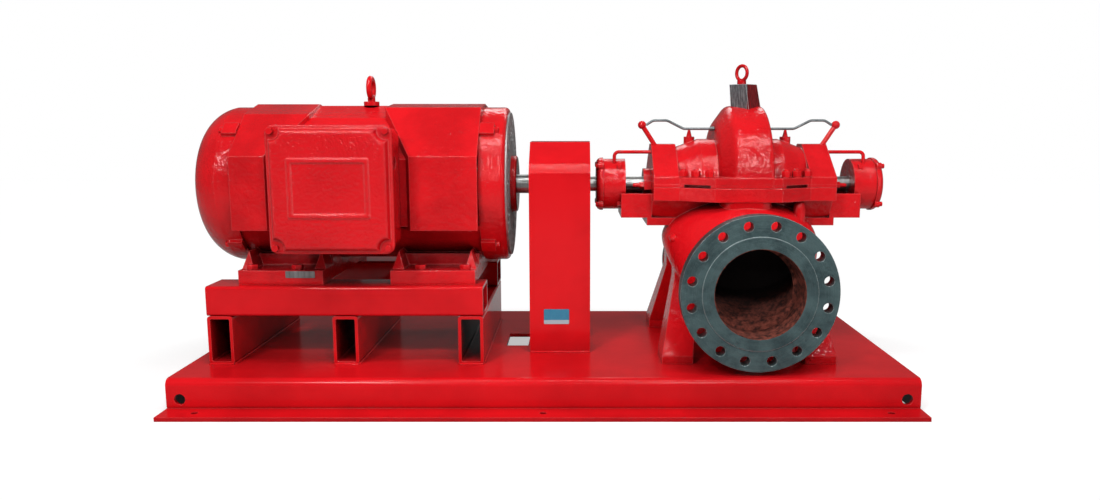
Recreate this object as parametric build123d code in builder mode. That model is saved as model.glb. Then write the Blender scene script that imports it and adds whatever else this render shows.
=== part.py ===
"""Horizontal split-case pump set: double-suction pump, motor on a riser, coupling guard, steel base.

Frame: +X along the shaft from motor to pump, -Y towards the suction side, +Z up.
The origin is on the floor, under the middle of the base. All sizes are in millimetres.
"""
import os
from math import cos, radians, sin

from build123d import *

# Base: one sheet bent to a hat section, with outward toes at the front and the back
base_length = 2110
deck_width = 890
deck_height = 96
base_sheet = 12
base_bend_radius = 20
toe_width = 75
lift_hole_radius = 15.5
lift_hole_inset = 38
lift_hole_height = 38
anchor_hole_radius = 9.5
anchor_hole_inset = 95
grout_hole_length = 70
grout_hole_width = 156
grout_hole_x = -98
cross_member_depth = 60
cross_member_inset = 150

# Shaft line
shaft_height = 609
running_clearance = 0.05
rotor_gap = 6

# Motor riser: three open tubes front to back, with two rails along the motor's feet
riser_left = -992
riser_right = -182
riser_half_width = 297
rail_height = 88
rail_width = 130
rail_wall = 9
riser_tube_width = 74
riser_tube_wall = 9

# Motor
foot_to_shaft = 279.4
motor_mid_x = -557
motor_half_length = 360
foot_bolt_spacing_y = 457.2
foot_bolt_spacing_x = 635
inner_bolt_spacing_x = 368
foot_bolt_radius = 10.5
foot_thickness = 42
foot_half_width = 262
foot_length = 250
foot_depth = 112
foot_web = 34
frame_radius = 234
frame_side = 248
frame_side_low = 500
frame_side_high = 698
frame_shoulder_y = 112
frame_shoulder_z = 817
frame_top_z = 856
shroud_thickness = 17
shroud_length = 238
shroud_low = 490
shroud_bevel = 94
shroud_crown_rise = 6
left_shoulder_z = 829
right_shoulder_z = 849
shroud_corner = 6
shield_radius = 242
drive_shield_length = 94
free_shield_length = 68
free_dome_length = 75
free_dome_radius = 95
shield_edge_radius = 14
shield_lug_size = 44
screen_radius = 226
screen_thickness = 5
screen_holes = 36
screen_rows = 4
screen_hole_radius = 8
bearing_cap_radius = 90
bearing_cap_length = 24
box_width = 332
box_height = 341
box_mid_x = -590
box_mid_z = 618
box_depth = 122
cover_margin = 9
cover_thickness = 24
cover_corner = 26
lid_margin = 14
lid_thickness = 5
emblem_frame_width = 222
emblem_frame_height = 166
emblem_frame_line = 9
emblem_frame_rise = 3
emblem_frame_drop = -4
conduit_radius = 17.5
conduit_depth = 30
conduit_rise = 72
eye_ring_radius = 30
eye_wire_radius = 8.5
eye_collar_radius = 24
eye_collar_height = 13
eye_shank_height = 12
pump_eye_ring_radius = 22.5
pump_eye_wire_radius = 5.5
pump_eye_collar_radius = 14
pump_eye_collar_height = 13
pump_eye_turn = 55

# Coupling and its guard
motor_shaft_radius = 30
pump_shaft_radius = 23.5
guard_mid_x = 40.5
guard_width = 187
guard_half_depth = 160
guard_side_top = 652
guard_shoulder_y = 142
guard_shoulder_z = 680
guard_crown_y = 62
guard_top = 744
guard_sheet = 4
guard_slot_margin = 12
hub_radius = 72
hub_length = 56
element_radius = 88
element_length = 26

# Pump casing
pump_mid_x = 603
casing_half_length = 277
barrel_end_radius = 128
barrel_mid_radius = 143
barrel_taper_length = 150
volute_radius = 247
volute_half_width = 78
volute_shoulder = 42
volute_offset_y = 30
shaft_tunnel_radius = 34
upper_flange = 31
lower_flange = 41
flange_end_y = 160
flange_mid_y = 216
flange_end_length = 78
flange_mid_half_length = 100
chest_half_width = 240
top_boss_side = 54
top_boss_top = 922
top_boss_shift = 10
vent_boss_radius = 17
vent_boss_height = 7
vent_offset = 153

# Nozzles
suction_y = 418
suction_height = 330
suction_flange_radius = 222.25
suction_flange_thickness = 47.6
suction_face_radius = 162
suction_face_rise = 1.6
suction_bore_radius = 127
suction_bore_depth = 105
suction_neck_wall = 26
suction_throat_radius = 116
suction_passage_end = 150
suction_bolt_circle = 193.675
suction_bolts = 16
suction_bolt_radius = 14.3
discharge_y = 418
discharge_height = 300
discharge_flange_radius = 190.5
discharge_flange_thickness = 41.3
discharge_face_radius = 134.9
discharge_face_rise = 1.6
discharge_bore_radius = 101.6
discharge_bore_depth = 120
discharge_neck_wall = 22
discharge_bolt_circle = 165.1
discharge_bolts = 12
discharge_bolt_radius = 12.7

# Pump feet and bearing brackets
foot_pad_left = 345
foot_pad_length = 92
foot_pad_near_y = 168
foot_pad_far_y = 292
foot_pad_height = 24
leg_top_z = 330
leg_top_length = 70
leg_top_depth = 80
leg_top_x = 175
leg_top_y = 120
cradle_half_width = 95
cradle_bottom = 510
cradle_top = 585
cradle_reach = 95
cradle_wall = 19
knee_reach = 14
knee_drop = 24

# Bearing housings
bearing_radius = 80
bearing_length = 70
bearing_cover_length = 22
bearing_cover_radius = 84
bearing_seat = 15
bearing_ear_radius = 11
bearing_ear_length = 15

# Glands and small pipes
gland_radius = 50
gland_length = 22
gland_ear_reach = 74
gland_ear_width = 26
flush_y = -26
flush_level = 784
nipple_radius = 7.5
nipple_foot_inset = 10
nipple_reach = 38
nipple_top = 796
elbow_radius = 13
flush_tube_radius = 4
flush_tube_bend = 26
flush_nut_radius = 8
flush_nut_length = 13
flush_crest = 810
flush_crest_offset = 22
flush_dip_offset = 118
seal_pipe_radius = 5.5
seal_pipe_y = -40
seal_pipe_level = 712
seal_pipe_bend = 14
cock_radius = 9
cock_height = 22

# Levels and places that follow from the driving sizes
base_left = -base_length / 2
base_right = base_length / 2
riser_top = shaft_height - foot_to_shaft
riser_tube_height = riser_top - rail_height - deck_height
riser_mid_x = (riser_left + riser_right) / 2
frame_left = motor_mid_x - motor_half_length
frame_right = motor_mid_x + motor_half_length
drive_face = frame_right + drive_shield_length - shroud_thickness
free_face = frame_left - free_shield_length
box_back = -frame_side
cover_back = box_back - box_depth
cover_front = cover_back - cover_thickness
guard_left = guard_mid_x - guard_width / 2
guard_right = guard_mid_x + guard_width / 2
element_left = guard_mid_x - element_length / 2
element_right = guard_mid_x + element_length / 2
casing_left = pump_mid_x - casing_half_length
casing_right = pump_mid_x + casing_half_length
parting = shaft_height
suction_flange_y = suction_face_rise - suction_y
discharge_flange_y = discharge_y - discharge_face_rise
bearing_inner_left = casing_left - cradle_reach + bearing_seat
bearing_inner_right = casing_right + cradle_reach - bearing_seat
cover_left = bearing_inner_left - bearing_length
cover_right = bearing_inner_right + bearing_length
shaft_axis = Axis((0, 0, shaft_height), (1, 0, 0))
upright = Plane.XZ


def save(piece, node):
    """Label a finished piece and write it to its own file."""
    piece.label = node
    export_step(piece, f"parts/{node}.step")


def across(x):
    """Section plane across the shaft at x: its own x is Y and its own y is Z."""
    return Plane.YZ.offset(x)


def facing(y):
    """Section plane along the shaft at y, seen from the front: its own y is Z."""
    return Plane.XZ.offset(-y)


os.makedirs("parts", exist_ok=True)

# Base deck with its two toes
with BuildPart() as base_deck:
    with BuildSketch(across(base_left)) as hat:
        Rectangle(deck_width, deck_height, align=(Align.CENTER, Align.MIN))
        fillet(hat.vertices().group_by(Axis.Z)[-1], base_bend_radius)
        with BuildSketch(across(base_left), mode=Mode.SUBTRACT) as hollow:
            Rectangle(deck_width - 2 * base_sheet, deck_height - base_sheet, align=(Align.CENTER, Align.MIN))
            fillet(hollow.vertices().group_by(Axis.Z)[-1], base_bend_radius - base_sheet)
        for side in (-1, 1):
            with Locations((side * (deck_width / 2 + (toe_width - base_sheet) / 2), 0)):
                Rectangle(toe_width + base_sheet, base_sheet, align=(Align.CENTER, Align.MIN))
    extrude(amount=base_length)
    with BuildSketch(upright):
        with Locations((base_left + lift_hole_inset, lift_hole_height)):
            Circle(lift_hole_radius)
        with Locations((base_right - lift_hole_inset, lift_hole_height)):
            Circle(lift_hole_radius)
    extrude(amount=deck_width, both=True, mode=Mode.SUBTRACT)
    with BuildSketch(Plane.XY):
        with GridLocations(base_right - anchor_hole_inset, deck_width + toe_width, 3, 2):
            Circle(anchor_hole_radius)
    extrude(amount=base_sheet, mode=Mode.SUBTRACT)
    with BuildSketch(Plane.XY.offset(deck_height)):
        with Locations((grout_hole_x, 0)):
            Rectangle(grout_hole_length, grout_hole_width)
    extrude(amount=-base_sheet, mode=Mode.SUBTRACT)
save(base_deck.part, "base_deck")

# End plates close the hat section
for node, x in (("base_end_plate_left", base_left), ("base_end_plate_right", base_right - base_sheet)):
    with BuildPart() as end_plate:
        with BuildSketch(across(x)) as plate:
            Rectangle(deck_width - 2 * base_sheet, deck_height - base_sheet, align=(Align.CENTER, Align.MIN))
            fillet(plate.vertices().group_by(Axis.Z)[-1], base_bend_radius - base_sheet)
        extrude(amount=base_sheet)
    save(end_plate.part, node)

# Cross members under the deck, below the riser's ends and the pump's feet
with BuildPart() as cross_members:
    for x in (riser_left + cross_member_inset, riser_right - cross_member_inset, pump_mid_x):
        with BuildSketch(across(x)) as member:
            with Locations((0, deck_height - base_sheet)):
                Rectangle(deck_width - 2 * base_sheet, cross_member_depth, align=(Align.CENTER, Align.MAX))
            fillet(member.vertices().group_by(Axis.Z)[-1], base_bend_radius - base_sheet)
        extrude(amount=base_sheet)
save(cross_members.part, "base_cross_members")

# Riser rails along the motor's feet
for node, side in (("riser_rail_front", -1), ("riser_rail_rear", 1)):
    with BuildPart() as rail:
        with BuildSketch(across(riser_left)) as rail_section:
            with Locations((side * (riser_half_width - rail_width / 2), riser_top - rail_height / 2)):
                RectangleRounded(rail_width, rail_height, rail_wall)
                Rectangle(rail_width - 2 * rail_wall, rail_height - 2 * rail_wall, mode=Mode.SUBTRACT)
        extrude(amount=riser_right - riser_left)
    save(rail.part, node)

# Riser tubes, open at the front and the back
tube_travel = (riser_right - riser_left - riser_tube_width) / 2
for node, x in (
    ("riser_tube_left", riser_mid_x - tube_travel),
    ("riser_tube_middle", riser_mid_x),
    ("riser_tube_right", riser_mid_x + tube_travel),
):
    with BuildPart() as riser_tube:
        with BuildSketch(facing(-riser_half_width)):
            with Locations((x, deck_height + riser_tube_height / 2)):
                RectangleRounded(riser_tube_width, riser_tube_height, riser_tube_wall)
                RectangleRounded(
                    riser_tube_width - 2 * riser_tube_wall,
                    riser_tube_height - 2 * riser_tube_wall,
                    riser_tube_wall / 2,
                    mode=Mode.SUBTRACT,
                )
        extrude(amount=-2 * riser_half_width)
    save(riser_tube.part, node)

# Motor frame: round body with flat sides and a crowned top, on cast feet
with BuildPart() as motor_frame:
    with BuildSketch(across(frame_left)) as frame_section:
        with Locations((0, shaft_height)):
            Circle(frame_radius)
        with BuildLine():
            Polyline(
                (-frame_side, frame_side_low),
                (-frame_side, frame_side_high),
                (-frame_shoulder_y, frame_shoulder_z),
                (0, frame_top_z),
                (frame_shoulder_y, frame_shoulder_z),
                (frame_side, frame_side_high),
                (frame_side, frame_side_low),
                close=True,
            )
        make_face()
    extrude(amount=2 * motor_half_length)
    for end in (-1, 1):
        foot_x = motor_mid_x + end * (motor_half_length - foot_length / 2 - foot_bolt_radius)
        with BuildSketch(Plane.XY.offset(riser_top)):
            with Locations((foot_x, 0)):
                Rectangle(foot_length, 2 * foot_half_width)
        extrude(amount=foot_thickness)
        with BuildSketch(Plane.XY.offset(riser_top + foot_thickness)):
            with Locations((foot_x, 0)):
                Rectangle(foot_length, 2 * (foot_half_width - foot_depth))
        extrude(amount=foot_web)
        with BuildSketch(Plane.XY.offset(riser_top + foot_thickness)):
            for web_x in (-1, 1):
                with Locations((foot_x + web_x * (foot_length - foot_web) / 2, 0)):
                    Rectangle(foot_web, 2 * (foot_half_width - foot_web))
        extrude(amount=foot_web * 2, taper=18)
    with BuildSketch(Plane.XY.offset(riser_top)):
        with Locations((motor_mid_x, 0)):
            with GridLocations(foot_bolt_spacing_x, foot_bolt_spacing_y, 2, 2):
                Circle(foot_bolt_radius)
            with GridLocations(inner_bolt_spacing_x, foot_bolt_spacing_y, 2, 2):
                Circle(foot_bolt_radius)
    extrude(amount=foot_thickness, mode=Mode.SUBTRACT)
    with BuildSketch(across(frame_left)):
        with Locations((0, shaft_height)):
            Circle(motor_shaft_radius + rotor_gap)
    extrude(amount=2 * motor_half_length, mode=Mode.SUBTRACT)
save(motor_frame.part, "motor_frame")

# Air shrouds over both ends of the frame, open below, with slanting inner ends
for node, outer_x, turn, shoulder_z in (
    ("motor_shroud_left", frame_left, 1, left_shoulder_z),
    ("motor_shroud_right", frame_right, -1, right_shoulder_z),
):
    with BuildPart() as shroud:
        with BuildSketch(across(outer_x)) as shroud_section:
            with BuildLine():
                Polyline(
                    (-frame_side - shroud_thickness, shroud_low),
                    (-frame_side - shroud_thickness, frame_side_high + shroud_thickness / 2),
                    (-frame_shoulder_y - shroud_thickness / 2, shoulder_z),
                    (0, frame_top_z + shroud_crown_rise),
                    (frame_shoulder_y + shroud_thickness / 2, shoulder_z),
                    (frame_side + shroud_thickness, frame_side_high + shroud_thickness / 2),
                    (frame_side + shroud_thickness, shroud_low),
                    close=True,
                )
            make_face()
            fillet(shroud_section.vertices().group_by(Axis.Z)[1:], shroud_corner)
        extrude(amount=turn * shroud_length)
        with BuildSketch(Plane.XY.offset(shroud_low)):
            with BuildLine():
                Polyline(
                    (outer_x, -frame_side - shroud_thickness),
                    (outer_x + turn * (shroud_length - shroud_bevel), -frame_side - shroud_thickness),
                    (outer_x + turn * shroud_length, -frame_shoulder_y),
                    (outer_x + turn * shroud_length, frame_shoulder_y),
                    (outer_x + turn * (shroud_length - shroud_bevel), frame_side + shroud_thickness),
                    (outer_x, frame_side + shroud_thickness),
                    close=True,
                )
            make_face()
        extrude(amount=shaft_height, mode=Mode.INTERSECT)
        with BuildSketch(across(outer_x)):
            with Locations((0, shaft_height)):
                Circle(frame_radius)
            with BuildLine():
                Polyline(
                    (-frame_side, shroud_low),
                    (-frame_side, frame_side_high),
                    (-frame_shoulder_y, frame_shoulder_z),
                    (0, frame_top_z),
                    (frame_shoulder_y, frame_shoulder_z),
                    (frame_side, frame_side_high),
                    (frame_side, shroud_low),
                    close=True,
                )
            make_face()
        extrude(amount=turn * shroud_length, mode=Mode.SUBTRACT)
    save(shroud.part, node)

# Drive-end shield with four bolt lugs
with BuildPart() as drive_shield:
    with BuildSketch(across(frame_right)) as shield_ring:
        with Locations((0, shaft_height)):
            Circle(shield_radius)
            Circle(motor_shaft_radius + rotor_gap, mode=Mode.SUBTRACT)
    extrude(amount=drive_face - frame_right)
    fillet(drive_shield.faces().sort_by(Axis.X)[-1].outer_wire().edges(), shield_edge_radius)
    with BuildSketch(across(frame_right)):
        with Locations((0, shaft_height)):
            with PolarLocations(shield_radius, 4, start_angle=45):
                Rectangle(shield_lug_size / 2, shield_lug_size)
    extrude(amount=shield_lug_size)
save(drive_shield.part, "motor_drive_shield")

# Pierced air screen around the drive-end bearing cap
with BuildPart() as air_screen:
    with BuildSketch(across(drive_face)):
        with Locations((0, shaft_height)):
            Circle(screen_radius)
            Circle(bearing_cap_radius, mode=Mode.SUBTRACT)
            for row in range(screen_rows):
                row_radius = screen_radius - (2 * row + 2) * screen_hole_radius * 1.25
                with PolarLocations(row_radius, screen_holes, start_angle=5 * (row % 2)):
                    Circle(screen_hole_radius, mode=Mode.SUBTRACT)
    extrude(amount=screen_thickness)
save(air_screen.part, "motor_air_screen")

# Drive-end bearing cap
with BuildPart() as bearing_cap:
    with BuildSketch(upright):
        with Locations((drive_face, shaft_height + motor_shaft_radius + running_clearance)):
            Rectangle(
                bearing_cap_length,
                bearing_cap_radius - motor_shaft_radius - running_clearance,
                align=(Align.MIN, Align.MIN),
            )
    revolve(axis=shaft_axis)
    fillet(bearing_cap.faces().sort_by(Axis.X)[-1].outer_wire().edges(), bearing_cap_length / 3)
save(bearing_cap.part, "motor_bearing_cap")

# Free-end shield, domed
with BuildPart() as free_shield:
    with BuildSketch(upright) as dome:
        with BuildLine():
            Polyline(
                (frame_left, shaft_height),
                (frame_left, shaft_height + shield_radius),
                (free_face + shield_edge_radius, shaft_height + shield_radius),
            )
            ThreePointArc(
                (free_face + shield_edge_radius, shaft_height + shield_radius),
                (
                    free_face - free_dome_length * sin(radians(40)),
                    shaft_height + free_dome_radius + (shield_radius - free_dome_radius) * cos(radians(40)),
                ),
                (free_face - free_dome_length, shaft_height + free_dome_radius),
            )
            Polyline(
                (free_face - free_dome_length, shaft_height + free_dome_radius),
                (free_face - free_dome_length, shaft_height),
                (frame_left, shaft_height),
            )
        make_face()
    revolve(axis=shaft_axis)
    with BuildSketch(across(frame_left)):
        with Locations((0, shaft_height)):
            Circle(motor_shaft_radius + running_clearance)
    extrude(amount=-free_shield_length, mode=Mode.SUBTRACT)
    with BuildSketch(across(frame_left)):
        with Locations((0, shaft_height)):
            with PolarLocations(shield_radius, 4, start_angle=45):
                Rectangle(shield_lug_size / 2, shield_lug_size)
    extrude(amount=-shield_lug_size)
save(free_shield.part, "motor_free_shield")

# Terminal box on the front of the motor
with BuildPart() as terminal_box:
    with BuildSketch(facing(cover_back)):
        with Locations((box_mid_x, box_mid_z)):
            RectangleRounded(box_width, box_height, cover_corner)
    extrude(amount=-box_depth)
    with BuildSketch(across(box_mid_x + box_width / 2)):
        with Locations((box_back - box_depth / 2, box_mid_z + conduit_rise)):
            Circle(conduit_radius)
    extrude(amount=-conduit_depth, mode=Mode.SUBTRACT)
save(terminal_box.part, "terminal_box")

# Its cover, with a raised lid and a plain raised frame
with BuildPart() as box_cover:
    with BuildSketch(facing(cover_back)) as cover_outline:
        with Locations((box_mid_x, box_mid_z)):
            RectangleRounded(box_width + 2 * cover_margin, box_height + 2 * cover_margin, cover_corner)
    extrude(amount=cover_thickness)
    with BuildSketch(facing(cover_front)):
        with Locations((box_mid_x, box_mid_z)):
            RectangleRounded(box_width - 2 * lid_margin, box_height - 2 * lid_margin, cover_corner)
    extrude(amount=lid_thickness)
    with BuildSketch(facing(cover_front - lid_thickness)):
        with Locations((box_mid_x - emblem_frame_drop, box_mid_z - emblem_frame_drop)):
            Rectangle(emblem_frame_width, emblem_frame_height)
            Rectangle(
                emblem_frame_width - 2 * emblem_frame_line,
                emblem_frame_height - 2 * emblem_frame_line,
                mode=Mode.SUBTRACT,
            )
    extrude(amount=emblem_frame_rise)
save(box_cover.part, "terminal_box_cover")

# Motor eyebolt, its ring across the shaft line
eye_seat = frame_top_z
with BuildPart() as motor_eyebolt:
    with BuildSketch(Plane.XY.offset(eye_seat)):
        with Locations((motor_mid_x, 0)):
            Circle(eye_collar_radius)
    extrude(amount=eye_collar_height)
    with BuildSketch(Plane.XY.offset(eye_seat + eye_collar_height)):
        with Locations((motor_mid_x, 0)):
            Circle(eye_wire_radius * 1.4)
    extrude(amount=eye_shank_height)
    eye_mid = eye_seat + eye_collar_height + eye_shank_height + eye_ring_radius
    with BuildSketch(facing(0)):
        with Locations((motor_mid_x, eye_mid + eye_ring_radius)):
            Circle(eye_wire_radius)
    revolve(axis=Axis((motor_mid_x, 0, eye_mid), (1, 0, 0)))
save(motor_eyebolt.part, "motor_eyebolt")

# Motor shaft, from the free-end bearing to the coupling
motor_shaft_left = free_face + rotor_gap
with BuildPart() as motor_shaft:
    with BuildSketch(across(motor_shaft_left)):
        with Locations((0, shaft_height)):
            Circle(motor_shaft_radius)
    extrude(amount=element_left - motor_shaft_left)
save(motor_shaft.part, "motor_shaft")

# Coupling hubs, with a thinner boss on the outer side
for node, inner_x, turn, bore in (
    ("coupling_hub_motor", element_left, -1, motor_shaft_radius),
    ("coupling_hub_pump", element_right, 1, pump_shaft_radius),
):
    with BuildPart() as hub:
        with BuildSketch(across(inner_x)):
            with Locations((0, shaft_height)):
                Circle(element_radius)
                Circle(bore, mode=Mode.SUBTRACT)
        extrude(amount=turn * hub_length / 3)
        with BuildSketch(across(inner_x + turn * hub_length / 3)):
            with Locations((0, shaft_height)):
                Circle(hub_radius)
                Circle(bore, mode=Mode.SUBTRACT)
        extrude(amount=turn * hub_length * 2 / 3)
    save(hub.part, node)

# Flexible element between the hubs
with BuildPart() as element:
    with BuildSketch(across(element_left)):
        with Locations((0, shaft_height)):
            Circle(element_radius)
    extrude(amount=element_length)
save(element.part, "coupling_element")


def guard_outline(inset):
    """Guard section seen along the shaft, moved in by a sheet's thickness."""
    side = guard_half_depth - inset
    return (
        (-side, deck_height),
        (-side, guard_side_top),
        (-guard_shoulder_y + inset, guard_shoulder_z),
        (-guard_crown_y + inset / 2, guard_top - inset),
        (guard_crown_y - inset / 2, guard_top - inset),
        (guard_shoulder_y - inset, guard_shoulder_z),
        (side, guard_side_top),
        (side, deck_height),
    )


# Guard shell: one bent sheet standing on the deck
with BuildPart() as guard_shell:
    with BuildSketch(across(guard_left)):
        with BuildLine():
            Polyline(*guard_outline(0), close=True)
        make_face()
        with BuildLine():
            Polyline(*guard_outline(guard_sheet), close=True)
        make_face(mode=Mode.SUBTRACT)
    extrude(amount=guard_width)
save(guard_shell.part, "guard_shell")

# Guard end plates, slotted from below so that they drop over the shafts
for node, x, radius in (
    ("guard_end_motor", guard_left, motor_shaft_radius),
    ("guard_end_pump", guard_right - guard_sheet, pump_shaft_radius),
):
    with BuildPart() as guard_end:
        with BuildSketch(across(x)):
            with BuildLine():
                Polyline(*guard_outline(guard_sheet), close=True)
            make_face()
            with Locations((0, shaft_height)):
                Circle(radius + guard_slot_margin, mode=Mode.SUBTRACT)
                Rectangle(
                    2 * (radius + guard_slot_margin),
                    shaft_height,
                    align=(Align.CENTER, Align.MAX),
                    mode=Mode.SUBTRACT,
                )
        extrude(amount=guard_sheet)
    save(guard_end.part, node)

# Pump shaft, from the coupling to the closed bearing
with BuildPart() as pump_shaft:
    with BuildSketch(across(element_right)):
        with Locations((0, shaft_height)):
            Circle(pump_shaft_radius)
    extrude(amount=cover_right - element_right)
save(pump_shaft.part, "pump_shaft")


def barrel_outline(direction):
    """Half profile of the tapered barrel along the shaft, above or below the axis."""
    return (
        (casing_left, shaft_height),
        (casing_left, shaft_height + direction * barrel_end_radius),
        (casing_left + barrel_taper_length, shaft_height + direction * barrel_mid_radius),
        (casing_right - barrel_taper_length, shaft_height + direction * barrel_mid_radius),
        (casing_right, shaft_height + direction * barrel_end_radius),
        (casing_right, shaft_height),
    )


# Suction chest, from the neck up under the barrel: y, height of its middle, half width, half height
neck_radius = suction_bore_radius + suction_neck_wall
chest_sections = (
    (-300, suction_height + 6, neck_radius + 10, neck_radius),
    (-190, 396, chest_half_width - 26, 164),
    (-70, 440, chest_half_width, 128),
    (90, 450, chest_half_width - 26, 112),
)

volute_axis = Axis((0, volute_offset_y, shaft_height), (1, 0, 0))
flange_plan = (
    (casing_left, -flange_end_y),
    (casing_left + flange_end_length, -flange_end_y),
    (pump_mid_x - flange_mid_half_length, -flange_mid_y),
    (pump_mid_x + flange_mid_half_length, -flange_mid_y),
    (casing_right - flange_end_length, -flange_end_y),
    (casing_right, -flange_end_y),
    (casing_right, flange_end_y),
    (casing_right - flange_end_length, flange_end_y),
    (pump_mid_x + flange_mid_half_length, flange_mid_y + volute_offset_y),
    (pump_mid_x - flange_mid_half_length, flange_mid_y + volute_offset_y),
    (casing_left + flange_end_length, flange_end_y),
    (casing_left, flange_end_y),
)

# Upper half casing: barrel, volute hump and split flange
with BuildPart() as upper_casing:
    with BuildSketch(upright):
        with BuildLine():
            Polyline(*barrel_outline(1), close=True)
        make_face()
    revolve(axis=shaft_axis)
    with BuildSketch(facing(volute_offset_y)) as hump:
        with Locations((pump_mid_x, shaft_height)):
            Rectangle(2 * volute_half_width, volute_radius, align=(Align.CENTER, Align.MIN))
        fillet(hump.vertices().group_by(Axis.Z)[-1], volute_shoulder)
    revolve(axis=volute_axis)
    with BuildSketch(Plane.XY.offset(parting)):
        with BuildLine():
            Polyline(*flange_plan, close=True)
        make_face()
    extrude(amount=upper_flange)
    for side in (-1, 1):
        with BuildSketch(Plane.XY.offset(parting + barrel_mid_radius - vent_boss_height)):
            with Locations((pump_mid_x + side * vent_offset, 0)):
                Circle(vent_boss_radius)
        extrude(amount=2 * vent_boss_height)
    with BuildSketch(Plane.XY.offset(parting + volute_radius / 2)):
        with Locations(Location((pump_mid_x + top_boss_shift, 0), 45)):
            Rectangle(top_boss_side, top_boss_side)
    extrude(amount=top_boss_top - parting - volute_radius / 2)
    split(bisect_by=Plane.XY.offset(parting), keep=Keep.TOP)
    with BuildSketch(across(casing_left)):
        with Locations((0, shaft_height)):
            Circle(shaft_tunnel_radius)
    extrude(amount=2 * casing_half_length, mode=Mode.SUBTRACT)
save(upper_casing.part, "pump_upper_casing")

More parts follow.
